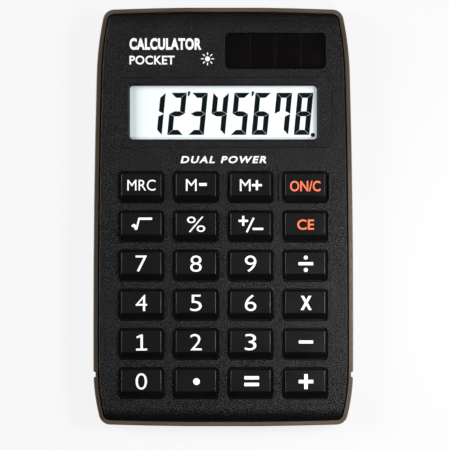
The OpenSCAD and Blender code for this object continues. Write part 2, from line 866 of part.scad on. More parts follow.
// A hollow key with a flange that the front cover holds down, and a stem for its dome
module key_at(column, row) {
    color(black_key) translate([key_x(column), key_y(row), 0]) {
        difference() {
            union() {
                key_cap();
                rounded_block(flange_w, flange_l, flange_r, flange_under, flange_top);
            }
            rounded_block(hollow_w, hollow_l, hollow_r, flange_under - cut, key_top - key_roof);
        }
        rod(stem_r, stem_under, key_top - key_roof + thin);
    }
}

// The part of a key that shows, sloped towards the user
module key_cap() {
    x = key_w / 2;
    y = key_l / 2;
    intersection() {
        rounded_block(key_w, key_l, key_r, flange_under, key_top);
        rotate([90, 0, 90]) translate([0, 0, -key_w]) linear_extrude(2 * key_w) polygon([
            [-y, 0], [-y, key_top - key_slope_drop], [-y + key_slope_l, key_top],
            [y - key_chamfer, key_top], [y, key_top - key_chamfer], [y, 0]
        ]);
        rotate([90, 0, 0]) translate([0, 0, -key_l]) linear_extrude(2 * key_l) polygon([
            [-x, 0], [-x, key_top - key_chamfer], [-x + key_chamfer, key_top],
            [x - key_chamfer, key_top], [x, key_top - key_chamfer], [x, 0]
        ]);
    }
}

rear_cover();
front_cover();
case_screws();
display_window();
front_polariser();
front_glass();
rear_glass();
rear_reflector();
display_ribbon();
display_bracket();
bracket_screws();
solar_cell();
solar_foam_pad();
solar_lead_red();
solar_lead_black();
button_cell();
cell_holder();
cell_contact_plus();
cell_contact_minus();
cell_lead_red();
cell_lead_black();
main_board();
contact_pads();
controller_chip();
power_capacitor();
clamp_diode();
board_resistors();
rubber_keypad();
carbon_pills();
for (row = [0:5], column = [0:3]) {
    key_at(column, row);
}
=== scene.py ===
import json
import math
import random

import bmesh
import bpy
from mathutils import Matrix, Vector
from mathutils.geometry import convex_hull_2d


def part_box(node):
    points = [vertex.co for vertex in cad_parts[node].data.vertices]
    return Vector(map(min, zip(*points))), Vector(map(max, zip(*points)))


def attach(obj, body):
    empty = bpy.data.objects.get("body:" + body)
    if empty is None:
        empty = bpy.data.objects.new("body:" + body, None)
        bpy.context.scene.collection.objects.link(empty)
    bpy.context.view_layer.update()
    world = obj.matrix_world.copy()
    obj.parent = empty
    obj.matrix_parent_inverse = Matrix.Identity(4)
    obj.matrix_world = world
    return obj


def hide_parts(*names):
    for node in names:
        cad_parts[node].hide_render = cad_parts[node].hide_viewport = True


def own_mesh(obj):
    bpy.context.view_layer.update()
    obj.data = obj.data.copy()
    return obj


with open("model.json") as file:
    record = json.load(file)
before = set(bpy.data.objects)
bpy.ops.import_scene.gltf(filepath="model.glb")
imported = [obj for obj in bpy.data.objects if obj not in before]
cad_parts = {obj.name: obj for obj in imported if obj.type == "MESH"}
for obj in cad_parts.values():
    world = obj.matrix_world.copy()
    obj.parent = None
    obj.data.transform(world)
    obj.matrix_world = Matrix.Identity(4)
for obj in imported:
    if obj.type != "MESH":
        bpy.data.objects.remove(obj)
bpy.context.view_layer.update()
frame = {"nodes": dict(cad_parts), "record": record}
random.seed(8)

NODES = frame["nodes"]
BODIES = frame["record"]["behaviour"]["bodies"]
MM = 0.001
MERGE = 0.001 * MM
TOUCH = 0.01 * MM
CASE = "case"

# The keys' CAD nodes, row by row from the display down
ROWS = (
    ("key_mrc", "key_m_minus", "key_m_plus", "key_on_c"),
    ("key_square_root", "key_percent", "key_plus_minus", "key_ce"),
    ("key_7", "key_8", "key_9", "key_divide"),
    ("key_4", "key_5", "key_6", "key_times"),
    ("key_1", "key_2", "key_3", "key_minus"),
    ("key_0", "key_point", "key_equals", "key_plus"),
)
KEYS = [key for row in ROWS for key in row]


def middle(node):
    """The middle of a CAD node's box."""
    low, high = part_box(node)
    return (low + high) / 2


# ---- Shader maths ------------------------------------------------------------

# The colour sockets of a Mix node
MIX_FACTOR, MIX_A, MIX_B = 0, 6, 7
MIX_COLOUR = 2


class Wire:
    """A shader socket that can stand in a sum: each operator adds its Math node."""

    def __init__(self, paint, socket):
        self.paint, self.socket = paint, socket

    def maths(self, operation, *terms):
        return self.paint.add("ShaderNodeMath", {"operation": operation}, dict(enumerate(terms)))

    def __add__(self, other):
        return self.maths("ADD", self, other)

    def __sub__(self, other):
        return self.maths("SUBTRACT", self, other)

    def __rsub__(self, other):
        return self.maths("SUBTRACT", other, self)

    def __mul__(self, other):
        return self.maths("MULTIPLY", self, other)

    __radd__ = __add__
    __rmul__ = __mul__

    def held(self):
        """The value kept between 0 and 1."""
        return self.paint.add("ShaderNodeClamp", {}, {"Value": self})


class Paint:
    """A material with one Principled shader, whose nodes are added by add()."""

    def __init__(self, name, **constants):
        self.material = bpy.data.materials.new(name)
        self.material.use_nodes = True
        self.tree = self.material.node_tree
        self.shader = self.tree.nodes["Principled BSDF"]
        self.set(constants)
        self.place = self.add("ShaderNodeTexCoord", {}, {}, "Object")

    def plug(self, socket, value):
        """Links a wire to a socket, or sets the socket to a number or colour."""
        if isinstance(value, Wire):
            self.tree.links.new(value.socket, socket)
        elif isinstance(value, tuple) and len(value) == 3 and socket.type == "RGBA":
            socket.default_value = (*value, 1)
        else:
            socket.default_value = value

    def add(self, kind, settings, sockets, output=0):
        """Makes a node from its type, settings and sockets' values or wires, and gives one output."""
        node = self.tree.nodes.new(kind)
        for setting, value in settings.items():
            setattr(node, setting, value)
        for socket, value in sockets.items():
            self.plug(node.inputs[socket], value)
        return Wire(self, node.outputs[output])

    def noise(self, size, detail=2.0, stretch=(1, 1, 1)):
        """Noise whose patches are about size across, finer along a direction that is stretched."""
        place = self.place
        if stretch != (1, 1, 1):
            place = self.add("ShaderNodeMapping", {}, {"Vector": self.place, "Scale": stretch})
        sockets = {"Vector": place, "Scale": 1 / size, "Detail": detail}
        return self.add("ShaderNodeTexNoise", {}, sockets, "Fac")

    def stretch(self, value, low, high):
        """A value's range from low to high, drawn out to 0 to 1."""
        ends = {"Value": value, "From Min": low, "From Max": high}
        return self.add("ShaderNodeMapRange", {"interpolation_type": "SMOOTHSTEP"}, ends)

    def mix(self, factor, a, b):
        """Colour a where factor is 0 and colour b where it is 1."""
        node = self.tree.nodes.new("ShaderNodeMix")
        node.data_type = "RGBA"
        for socket, value in zip((MIX_FACTOR, MIX_A, MIX_B), (factor, a, b)):
            self.plug(node.inputs[socket], value)
        return Wire(self, node.outputs[MIX_COLOUR])

    def axis(self, name):
        """How far a point is along x, y or z, in metres."""
        return self.add("ShaderNodeSeparateXYZ", {}, {"Vector": self.place}, name)

    def worn_edge(self):
        """Near 1 on sharp convex edges and 0 on flats, broken up by noise."""
        point = self.add("ShaderNodeNewGeometry", {}, {}, "Pointiness")
        return (self.stretch(point, 0.53, 0.62) * self.stretch(self.noise(1.2 * MM), 0.35, 0.7)).held()

    def set(self, values):
        """Sets or links the shader's sockets, each named by its words."""
        for words, value in values.items():
            socket = words.replace("_", " ").title().replace("Ior", "IOR")
            self.plug(self.shader.inputs[socket], value)

    def finish(self, **varying):
        """Sets the sockets that vary over the surface, and gives the material."""
        self.set(varying)
        return self.material

    def relief(self, height, depth):
        """Bumps on the surface: height from 0 to 1 stands for depth in metres."""
        bump = self.add("ShaderNodeBump", {}, {"Height": height, "Distance": depth, "Strength": 1.0})
        self.plug(self.shader.inputs["Normal"], bump)


def moulded(name, colour, shade, rough, grain, depth, worn=0.0, **constants):
    """Moulded plastic: fine grain, faint cloudiness, and edges that are rubbed a little paler."""
    paint = Paint(name, **constants)
    cloud = paint.stretch(paint.noise(9 * MM, 4.0), 0.35, 0.65)
    tone = paint.mix(cloud, colour, tuple(c * shade for c in colour))
    if worn:
        tone = paint.mix(paint.worn_edge() * worn, tone, tuple(min(1, c * 3 + 0.02) for c in colour))
    fine = paint.noise(grain, 3.0)
    paint.relief(fine, depth)
    return paint.finish(base_color=tone, roughness=rough + 0.12 * (fine - 0.5) + 0.05 * cloud)


def rolled_metal(name, colour, rough, stretch, **constants):
    """Sheet or turned metal with fine lines along one direction and a few duller patches."""
    paint = Paint(name, metallic=1.0, **constants)
    lines = paint.noise(0.5 * MM, 3.0, stretch)
    dull = paint.stretch(paint.noise(3 * MM), 0.4, 0.7)
    paint.relief(lines, 0.003 * MM)
    tone = paint.mix(dull * 0.5, colour, tuple(0.7 * c for c in colour))
    return paint.finish(base_color=tone, roughness=rough + 0.15 * lines + 0.12 * dull)


def printed_ink(name, colour, thin):
    """Printed ink, a little uneven where it went on thin."""
    paint = Paint(name)
    film = paint.stretch(paint.noise(0.35 * MM, 4.0), 0.25, 0.6)
    paint.relief(film, 0.004 * MM)
    return paint.finish(base_color=paint.mix(film, thin, colour), roughness=0.42 + 0.15 * film)


def front_shell_finish():
    """Black plastic with a plain pebbled grain."""
    return moulded(
        "front_shell", (0.0022, 0.0022, 0.0026), shade=1.3, rough=0.29, grain=0.30 * MM, depth=0.20 * MM,
        worn=0.15, specular_ior_level=0.24)


def rear_shell_finish():
    """Bronze paint over plastic: tiny flakes under a satin coat."""
    paint = Paint("rear_shell", coat_roughness=0.3)
    sockets = {"Vector": paint.place, "Scale": 1 / (0.12 * MM)}
    flakes = paint.add("ShaderNodeTexVoronoi", {}, sockets, "Color")
    glint = paint.add("ShaderNodeSeparateColor", {}, {"Color": flakes}, "Red")
    cloud = paint.stretch(paint.noise(12 * MM, 3.0), 0.3, 0.7)
    tone = paint.mix(glint * 0.7 + cloud * 0.3, (0.060, 0.039, 0.024), (0.112, 0.078, 0.050))
    tone = paint.mix(paint.worn_edge() * 0.5, tone, (0.16, 0.14, 0.12))
    paint.relief(paint.noise(0.3 * MM, 3.0), 0.008 * MM)
    return paint.finish(
        base_color=tone, metallic=0.25 * glint, roughness=0.42 + 0.1 * cloud, coat_weight=0.15)


def key_finish():
    """Black plastic with a finer, smoother grain than the cover's."""
    return moulded(
        "key_plastic", (0.0018, 0.0018, 0.0021), shade=1.25, rough=0.28, grain=0.40 * MM, depth=0.03 * MM,
        worn=0.1, specular_ior_level=0.34)


def inner_plastic_finish():
    """Dark grey plastic of the bracket and the cell's holder."""
    return moulded(
        "inner_plastic", (0.035, 0.035, 0.037), shade=1.3, rough=0.48, grain=0.4 * MM, depth=0.02 * MM,
        worn=0.1)


def clear_window_finish():
    """Clear acrylic: almost all of what is behind it shows, with a few faint hairline marks."""
    paint = Paint("clear_window", base_color=(0.02, 0.023, 0.023), ior=1.49, specular_ior_level=0.25)
    marks = paint.stretch(paint.noise(2.5 * MM, 5.0, (1, 5, 1)), 0.62, 0.75)
    return paint.finish(alpha=0.035 + 0.03 * marks, roughness=0.06 + 0.2 * marks)


def display_face_finish():
    """The display's pale ground: a polariser film with a very fine sparkle, and a painted glow that
    brightens it though it is no lamp.
    """
    # The emission colour and strength are painted light: they make the film glow a little, as if more light
    # reached it.
    paint = Paint(
        "display_face", specular_ior_level=0.3, emission_color=(0.80, 0.93, 0.96), emission_strength=0.15)
    cloud = paint.stretch(paint.noise(16 * MM, 2.0), 0.3, 0.7)
    speck = paint.noise(0.15 * MM, 1.0)
    tone = paint.mix(cloud, (0.83, 0.90, 0.91), (0.87, 0.94, 0.95))
    tone = paint.mix(speck * 0.25, tone, (0.76, 0.83, 0.84))
    return paint.finish(base_color=tone, roughness=0.5 + 0.1 * speck)


def display_segment_finish():
    """The blue-black of lit segments."""
    paint = Paint("display_segments", specular_ior_level=0.1)
    cloud = paint.noise(2 * MM, 2.0)
    tone = paint.mix(cloud, (0.0008, 0.0025, 0.0035), (0.002, 0.005, 0.006))
    return paint.finish(base_color=tone, roughness=0.4 + 0.1 * cloud)


def display_glass_finish():
    """Thin greenish glass with a faint film on it."""
    paint = Paint("display_glass", ior=1.52)
    film = paint.stretch(paint.noise(6 * MM, 3.0), 0.35, 0.7)
    tone = paint.mix(film, (0.62, 0.74, 0.70), (0.72, 0.82, 0.78))
    return paint.finish(base_color=tone, alpha=0.45 + 0.1 * film, roughness=0.04 + 0.06 * film)


def solar_glass_finish():
    """A dark cell under glass: brown-black with a faint violet cloud."""
    paint = Paint("solar_glass", specular_ior_level=0.15)
    cloud = paint.stretch(paint.noise(5 * MM, 3.0), 0.3, 0.7)
    tone = paint.mix(cloud, (0.0008, 0.0004, 0.0003), (0.0014, 0.0008, 0.0006))
    return paint.finish(base_color=tone, roughness=0.22 + 0.1 * cloud)


def solar_line_finish():
    """The faint brown of the gaps between the cell's strips."""
    paint = Paint("solar_lines", specular_ior_level=0.2)
    grain = paint.noise(0.3 * MM, 3.0)
    tone = paint.mix(grain, (0.0032, 0.0021, 0.0018), (0.0052, 0.0035, 0.0030))
    return paint.finish(base_color=tone, roughness=0.35 + 0.1 * grain)


def foam_finish():
    """Open-cell foam."""
    paint = Paint("foam", sheen_weight=0.2)
    sockets = {"Vector": paint.place, "Scale": 1 / (0.45 * MM)}
    cells = paint.add("ShaderNodeTexVoronoi", {}, sockets, "Distance")
    pores = paint.stretch(cells, 0.1, 0.6)
    paint.relief(pores, 0.12 * MM)
    tone = paint.mix(pores, (0.035, 0.035, 0.038), (0.012, 0.012, 0.013))
    return paint.finish(base_color=tone, roughness=0.85 + 0.1 * pores)


def wire_finish(name, colour):
    """Soft wire insulation, rubbed dull along its length."""
    paint = Paint(name)
    rub = paint.stretch(paint.noise(1.5 * MM, 3.0), 0.35, 0.7)
    paint.relief(paint.noise(0.2 * MM), 0.01 * MM)
    tone = paint.mix(rub, colour, tuple(0.75 * c for c in colour))
    return paint.finish(base_color=tone, roughness=0.38 + 0.2 * rub)


def board_finish():
    """Green solder mask over paler blocks of copper, parted by darker lines."""
    paint = Paint("board_laminate", coat_roughness=0.2)
    across = paint.add("ShaderNodeTexBrick", {"offset": 0.35}, {
        "Vector": paint.place, "Scale": 1 / (4 * MM), "Mortar Size": 0.06, "Mortar Smooth": 0.1,
        "Brick Width": 0.9, "Row Height": 0.28,
    }, "Fac")
    weave = paint.noise(0.25 * MM, 2.0)
    tone = paint.mix(across, (0.020, 0.085, 0.040), (0.045, 0.150, 0.065))
    paint.relief(across + weave * 0.2, 0.02 * MM)
    tone = paint.mix(weave * 0.3, tone, (0.012, 0.050, 0.026))
    return paint.finish(base_color=tone, roughness=0.35 + 0.15 * weave, coat_weight=0.3)


def resin_finish():
    """The glossy resin over the chip, the diode and the resistors."""
    return moulded(
        "black_resin", (0.010, 0.010, 0.011), shade=1.4, rough=0.22, grain=1.5 * MM, depth=0.05 * MM)


def carbon_finish():
    """Matt carbon of the pads and the pills."""
    return moulded("carbon", (0.012, 0.012, 0.013), shade=1.5, rough=0.7, grain=0.12 * MM, depth=0.01 * MM)


def capacitor_finish():
    """The amber case of a small capacitor."""
    return moulded(
        "capacitor_case", (0.55, 0.30, 0.06), shade=0.8, rough=0.35, grain=0.5 * MM, depth=0.01 * MM)


def rubber_finish():
    """Grey silicone rubber with a bloom of talc."""
    paint = Paint("keypad_rubber", subsurface_weight=0.05)
    bloom = paint.stretch(paint.noise(1.8 * MM, 5.0), 0.35, 0.75)
    paint.relief(paint.noise(0.3 * MM, 3.0), 0.01 * MM)
    tone = paint.mix(bloom, (0.20, 0.215, 0.225), (0.30, 0.31, 0.315))
    return paint.finish(base_color=tone, roughness=0.55 + 0.25 * bloom)


def ribbon_finish():
    """Amber film with fine dark conductors side by side."""
    paint = Paint("ribbon_film")
    across = paint.axis("X")
    lane = paint.add("ShaderNodeMath", {"operation": "PINGPONG"}, {0: across, 1: 0.45 * MM})
    line = paint.stretch(lane, 0.18 * MM, 0.24 * MM)
    grain = paint.noise(0.8 * MM, 3.0)
    tone = paint.mix(line, (0.42, 0.20, 0.035), (0.14, 0.06, 0.02))
    return paint.finish(base_color=tone, alpha=0.92 + 0.08 * line, roughness=0.3 + 0.15 * grain)


def label_finish():
    """A blank foil label: satin, with a faint brushed grain."""
    paint = Paint("label_foil", metallic=0.8)
    grain = paint.noise(0.4 * MM, 3.0, (1, 12, 1))
    tone = paint.mix(grain, (0.40, 0.40, 0.41), (0.52, 0.52, 0.53))
    return paint.finish(base_color=tone, roughness=0.35 + 0.15 * grain)


FINISHES = {
    "front_shell": front_shell_finish(),
    "rear_shell": rear_shell_finish(),
    "key_plastic": key_finish(),
    "key_print_white": printed_ink("key_print_white", (0.96, 0.96, 0.95), (0.82, 0.82, 0.81)),
    "key_print_orange": printed_ink("key_print_orange", (1.0, 0.185, 0.070), (0.72, 0.11, 0.045)),
    "clear_window": clear_window_finish(),
    # The display's face carries a painted glow from its emission.
    "display_face": display_face_finish(),
    "display_segments": display_segment_finish(),
    "display_glass": display_glass_finish(),
    "reflector_foil": rolled_metal("reflector_foil", (0.72, 0.73, 0.74), 0.25, (1, 10, 1)),
    "ribbon_film": ribbon_finish(),
    "inner_plastic": inner_plastic_finish(),
    "screw_steel": rolled_metal("screw_steel", (0.52, 0.53, 0.55), 0.25, (1, 1, 8)),
    "solar_glass": solar_glass_finish(),
    "foam": foam_finish(),
    "lead_red": wire_finish("lead_red", (0.55, 0.02, 0.015)),
    "lead_black": wire_finish("lead_black", (0.018, 0.018, 0.019)),
    "cell_can": rolled_metal("cell_can", (0.66, 0.66, 0.65), 0.18, (1, 1, 10)),
    "contact_metal": rolled_metal("contact_metal", (0.68, 0.66, 0.60), 0.28, (10, 1, 1)),
    "board_laminate": board_finish(),
    "carbon": carbon_finish(),
    "black_resin": resin_finish(),
    "capacitor_case": capacitor_finish(),
    "keypad_rubber": rubber_finish(),
}
SOLAR_LINES = solar_line_finish()
LABEL_FOIL = label_finish()

# ---- Shared shapes -----------------------------------------------------------

SMOOTH_TO = math.radians(38)
SHARP_FROM = math.radians(20)
FLAT_TO = math.radians(0.5)
LEVEL = 0.99999


def make_piece(bm, name, slot, body=CASE, finish=None, stands_for=()):
    """Turns a finished bmesh into a piece that rides on its body and has its finish."""
    mesh = bpy.data.meshes.new(name)
    bm.normal_update()
    for face in bm.faces:
        face.smooth = abs(face.normal.z) < LEVEL
    bm.to_mesh(mesh)
    bm.free()
    mesh.materials.append(finish or FINISHES[slot])
    mesh.set_sharp_from_angle(angle=SMOOTH_TO)
    piece = in_scene(name, mesh)
    even = piece.modifiers.new("Even shading", "WEIGHTED_NORMAL")
    even.keep_sharp = True
    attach(piece, body)
    if stands_for:
        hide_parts(*stands_for)
    return piece


def cad_copy(node):
    """A CAD node's solid with its triangles merged."""
    bm = bmesh.new()
    bm.from_mesh(NODES[node].data)
    bmesh.ops.remove_doubles(bm, verts=bm.verts, dist=MERGE)
    return bm


def everything(bm):
    return bm.verts[:] + bm.edges[:] + bm.faces[:]


def sharp_edges(bm):
    return [e for e in bm.edges if len(e.link_faces) == 2 and abs(e.calc_face_angle(0)) > SHARP_FROM]


def bevel(bm, edges, width, segments, clamp=True):
    bmesh.ops.bevel(
        bm, geom=edges, offset=width, offset_type="OFFSET", segments=segments, profile=0.5, affect="EDGES",
        clamp_overlap=clamp, material=-1)


def soften(bm, width, segments=2, edges=None, clamp=True):
    """Rounds a shape's sharp edges, or the edges given."""
    bevel(bm, sharp_edges(bm) if edges is None else edges, width, segments, clamp)


def softened_node(node, slot, width, body=CASE, clamp=True):
    """A piece that stands for a CAD node, with whole flat faces and softly broken edges."""
    bm = cad_copy(node)
    bmesh.ops.dissolve_limit(bm, angle_limit=FLAT_TO, verts=bm.verts, edges=bm.edges)
    soften(bm, width, clamp=clamp)
    return make_piece(bm, f"{node}_finished", slot, body, stands_for=(node,))


def slab(bm, size, centre, corner=0.0, steps=4):
    """Adds a block with rounded upright corners, and gives its vertices."""
    place = Matrix.Translation(centre) @ Matrix.Diagonal((*size, 1))
    verts = bmesh.ops.create_cube(bm, size=1, matrix=place)["verts"]
    if corner:
        upright = {e for v in verts for e in v.link_edges if abs(e.verts[0].co.z - e.verts[1].co.z) > TOUCH}
        known = set(bm.verts) - set(verts)
        bevel(bm, list(upright), corner, steps)
        verts = [v for v in bm.verts if v not in known]
    return verts


def raised_by(bm, faces, height):
    """Gives flat faces a thickness upwards."""
    made = bmesh.ops.extrude_face_region(bm, geom=faces)
    top = [part for part in made["geom"] if isinstance(part, bmesh.types.BMVert)]
    bmesh.ops.translate(bm, verts=top, vec=(0, 0, height))
    bmesh.ops.recalc_face_normals(bm, faces=bm.faces)


def leaning(angle):
    """A slant along x by height y."""
    return Matrix(((1, math.tan(angle), 0, 0), (0, 1, 0, 0), (0, 0, 1, 0), (0, 0, 0, 1)))


def disc(bm, radius, low, high, x, y, sides=32):
    """Adds an upright round rod, and gives its vertices."""
    place = Matrix.Translation((x, y, (low + high) / 2))
    made = bmesh.ops.create_cone(
        bm, cap_ends=True, segments=sides, radius1=radius, radius2=radius, depth=high - low, matrix=place)
    return made["verts"]


def in_scene(name, data):
    """An object made from a mesh, curve, light or camera."""
    made = bpy.data.objects.new(name, data)
    bpy.context.scene.collection.objects.link(made)
    return made


def evaluated_mesh(thing):
    """What an object's curve or modifiers give, as a mesh."""
    graph = bpy.context.evaluated_depsgraph_get()
    return bpy.data.meshes.new_from_object(thing.evaluated_get(graph))


def plain_solid(bm, name):
    """A bmesh's shape as an object of its own: a solid that cuts others, or the floor."""
    mesh = bpy.data.meshes.new(name)
    bm.to_mesh(mesh)
    bm.free()
    return in_scene(name, mesh)


def carve(bm, steps):
    """Cuts a solid with others in turn, and gives the result as a bmesh. A step is (operation, solid)."""
    body = plain_solid(bm, "carved")
    for operation, tool in steps:
        cut = body.modifiers.new("Cut", "BOOLEAN")
        cut.operation, cut.object, cut.solver, cut.use_self = operation, tool, "EXACT", False
        made = evaluated_mesh(body)
        body.modifiers.clear()
        body.data = made
        bpy.data.objects.remove(tool)
    made = bmesh.new()
    made.from_mesh(body.data)
    bpy.data.objects.remove(body)
    bmesh.ops.remove_doubles(made, verts=made.verts, dist=MERGE)
    return made


# ---- Covers ------------------------------------------------------------------

SKIN = 0.02 * MM
FACE_ROUNDING = 0.5 * MM
BACK_ROUNDING = 1.5 * MM
RIM_ROUNDING = 0.25 * MM
HOLE_ROUNDING = 0.14 * MM
WINDOW_ROUNDING = 0.75 * MM

# How far each end's fall reaches in from the end, and how deep it is
NOSE = (5.0 * MM, 1.3 * MM)
TAIL = (3.6 * MM, 1.3 * MM)
FALL_STEPS = 14

FACE_UP = 9.2 * MM
COVER_FOOT = 4.0 * MM
RIM_TOP = 7.0 * MM
RECESS_DEPTH = 0.35 * MM
WINDOW = (52.2 * MM, 14.9 * MM)

display = middle("display_window")
solar = middle("solar_cell")
lower_end, upper_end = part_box("front_cover")[0].y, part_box("front_cover")[1].y


def outer_line(node, level):
    """A cover's outline at a level, as points in order."""
    vertices = NODES[node].data.vertices
    near = {(round(v.co.x, 7), round(v.co.y, 7)) for v in vertices if abs(v.co.z - level) < TOUCH}
    points = [Vector(p) for p in sorted(near)]
    return [points[i] for i in convex_hull_2d(points)]


def block_from(line, low, high, inset=0.0):
    """A solid with an outline of points, from one height to another, a little smaller all round by inset."""
    bm = bmesh.new()
    foot = bm.faces.new([bm.verts.new((*p, low)) for p in line])
    raised_by(bm, [foot], high - low)
    half_w = max(v.co.x for v in bm.verts)
    half_l = max(v.co.y for v in bm.verts)
    bmesh.ops.scale(bm, verts=bm.verts, vec=(1 - inset / half_w, 1 - inset / half_l, 1))
    return bm


def level_edges(bm, level):
    """The edges that lie at a height."""
    return [e for e in bm.edges if is_face_edge(e, level)]


def fall(y):
    """How far the face falls towards an end, at distance y along the length."""
    for past_end, (length, drop) in ((y - upper_end, NOSE), (lower_end - y, TAIL)):
        into_end = past_end + length
        if into_end > 0:
            radius = (length ** 2 + drop ** 2) / (2 * drop)
            return radius - math.sqrt(radius ** 2 - min(into_end, length) ** 2)
    return 0.0


def front_cover():
    """The black front: rounded along its sides, falling away at both ends, with its openings cut."""
    face = FACE_UP - SKIN
    bm = block_from(outer_line("front_cover", COVER_FOOT), 0, face, SKIN)
    soften(bm, FACE_ROUNDING, 5, level_edges(bm, face), clamp=False)
    for end, reach in ((upper_end, -NOSE[0]), (lower_end, TAIL[0])):
        for step in range(FALL_STEPS):
            at = (0, end + reach * (step + 0.5) / FALL_STEPS, 0)
            bmesh.ops.bisect_plane(bm, geom=everything(bm), plane_co=at, plane_no=(0, 1, 0), dist=MERGE)
    for v in bm.verts:
        if v.co.z > COVER_FOOT:
            v.co.z -= fall(v.co.y)
    return carve(bm, [("INTERSECT", plain_solid(cad_copy("front_cover"), "cad_front"))])


def finished_front():
    """The front cover with the edges of its openings and of the display window rounded."""
    bm = front_cover()
    face = FACE_UP - SKIN
    soften(bm, HOLE_ROUNDING, 3, [e for e in sharp_edges(bm) if is_face_edge(e, face)], clamp=False)
    soften(bm, WINDOW_ROUNDING, 6, [e for e in sharp_edges(bm) if is_window_edge(e)], clamp=False)
    return make_piece(bm, "front_cover_finished", "front_shell", stands_for=("front_cover",))


def is_face_edge(edge, face):
    """True on an edge that lies in a flat face at a height, such as an opening's upper edge."""
    return all(abs(v.co.z - face) < TOUCH for v in edge.verts)


def is_window_edge(edge):
    """True on the display window's upper edge, in the sunk area's floor."""
    centre = (edge.verts[0].co + edge.verts[1].co) / 2
    level = is_face_edge(edge, FACE_UP - RECESS_DEPTH)
    beside = abs(centre.x) < WINDOW[0] / 2 + TOUCH
    return level and beside and abs(centre.y - display.y) < WINDOW[1] / 2 + TOUCH


def finished_rear():
    """The bronze rear cover: a soft edge round its back and a broken edge on its rim."""
    rim = RIM_TOP - SKIN / 2
    bm = block_from(outer_line("rear_cover", RIM_TOP), SKIN, rim, SKIN)
    soften(bm, BACK_ROUNDING, 6, level_edges(bm, SKIN), clamp=False)
    soften(bm, RIM_ROUNDING, 3, level_edges(bm, rim), clamp=False)
    bm = carve(bm, [("INTERSECT", plain_solid(cad_copy("rear_cover"), "cad_rear"))])
    return make_piece(bm, "rear_cover_finished", "rear_shell", stands_for=("rear_cover",))


LABEL = (38.4 * MM, 22.4 * MM, 0.12 * MM)
LABEL_CORNER = 1.3 * MM
LABEL_DEPTH = 0.3 * MM


def back_label():
    """A blank foil label in its shallow bed in the back."""
    bm = bmesh.new()
    slab(bm, LABEL, (0, 0, LABEL_DEPTH - LABEL[2] / 2), LABEL_CORNER, 6)
    make_piece(bm, "back_label", "reflector_foil", finish=LABEL_FOIL)


GUARD = (0.8 * MM, 7.6 * MM, 0.5 * MM)
GUARD_OFFSET = 6.95 * MM
GUARD_ROOT = 0.2 * MM
GUARD_CORNER = 0.39 * MM
GUARD_ROUNDING = 0.2 * MM


def guard_ribs():
    """The two low ribs that stop the ON/C key being pressed by chance."""
    width, length, height = GUARD
    foot, top = FACE_UP - GUARD_ROOT, FACE_UP + height
    key = middle("key_on_c")
    bm = bmesh.new()
    for side in (-1, 1):
        centre = (key.x + side * GUARD_OFFSET, key.y, (top + foot) / 2)
        slab(bm, (width, length, top - foot), centre, GUARD_CORNER, 5)
    above = [e for e in sharp_edges(bm) if all(v.co.z > FACE_UP for v in e.verts)]
    soften(bm, GUARD_ROUNDING, 3, above)
    return make_piece(bm, "guard_ribs", "front_shell")


# ---- Keys and their print ----------------------------------------------------

KEY_ROUNDING = 0.09 * MM
PRINT_LIFT = 0.012 * MM
PRINT_THICKNESS = 0.015 * MM
LAYER = 0.004 * MM
LETTER_MERGE = 0.0005
WHITE, ORANGE = "key_print_white", "key_print_orange"


def lettering(text, x, y, width, height, top, bold=0.0, slant=0.0, spacing=1.0):
    """Letters fitted to a width and height about a point, as a thin solid on a surface at top."""
    text_above = Matrix.Translation((x, y, top + PRINT_LIFT)) @ leaning(slant)
    curve = bpy.data.curves.new("lettering", "FONT")
    curve.body = text
    curve.offset = bold
    curve.space_character = spacing
    curve.resolution_u = 5
    drawn = in_scene("lettering", curve)
    mesh = evaluated_mesh(drawn)
    bpy.data.objects.remove(drawn)
    bm = bmesh.new()
    bm.from_mesh(mesh)
    bpy.data.meshes.remove(mesh)
    bmesh.ops.remove_doubles(bm, verts=bm.verts, dist=LETTER_MERGE)
    xs, ys = [v.co.x for v in bm.verts], [v.co.y for v in bm.verts]
    scale = Matrix.Diagonal((width / (max(xs) - min(xs)), height / (max(ys) - min(ys)), 1, 1))
    shift = Matrix.Translation((-(max(xs) + min(xs)) / 2, -(max(ys) + min(ys)) / 2, 0))
    bmesh.ops.transform(bm, matrix=text_above @ scale @ shift, verts=bm.verts)
    raised_by(bm, bm.faces[:], PRINT_THICKNESS)
    return bm


def join(bm, other):
    """Moves another bmesh's shapes into bm."""
    mesh = bpy.data.meshes.new("joined")
    other.to_mesh(mesh)
    other.free()
    bm.from_mesh(mesh)
    bpy.data.meshes.remove(mesh)


def bar(bm, x, y, width, height, top, turn=0.0, rounding=0.12 * MM, layer=0):
    """Adds a flat printed bar about a point. A bar that crosses another is a layer higher."""
    z = top + PRINT_LIFT + PRINT_THICKNESS / 2 + layer * LAYER
    verts = slab(bm, (width, height, PRINT_THICKNESS), (0, 0, 0), rounding, 3)
    place = Matrix.Translation((x, y, z)) @ Matrix.Rotation(turn, 4, "Z")
    bmesh.ops.transform(bm, matrix=place, verts=verts)


def dot(bm, x, y, radius, top):
    """Adds a round printed dot."""
    disc(bm, radius, top + PRINT_LIFT, top + PRINT_LIFT + PRINT_THICKNESS, x, y)


def words(*letters):
    """A legend made of letters. Each is (text, dx, dy, width, height, boldness).

    Sizes are in millimetres, and dx and dy are from the key's middle, here and in the next functions.
    """
    def draw(bm, x, y, top):
        for text, dx, dy, width, height, bold in letters:
            join(bm, lettering(text, x + dx * MM, y + dy * MM, width * MM, height * MM, top, bold))
    return draw


def signs(*bars, dots=()):
    """A legend made of bars, each (dx, dy, width, height, degrees), and dots, each (dx, dy, radius)."""
    def draw(bm, x, y, top):
        for layer, (dx, dy, width, height, degrees) in enumerate(bars):
            turn = math.radians(degrees)
            bar(bm, x + dx * MM, y + dy * MM, width * MM, height * MM, top, turn, layer=layer)
        for dx, dy, radius in dots:
            dot(bm, x + dx * MM, y + dy * MM, radius * MM, top)
    return draw


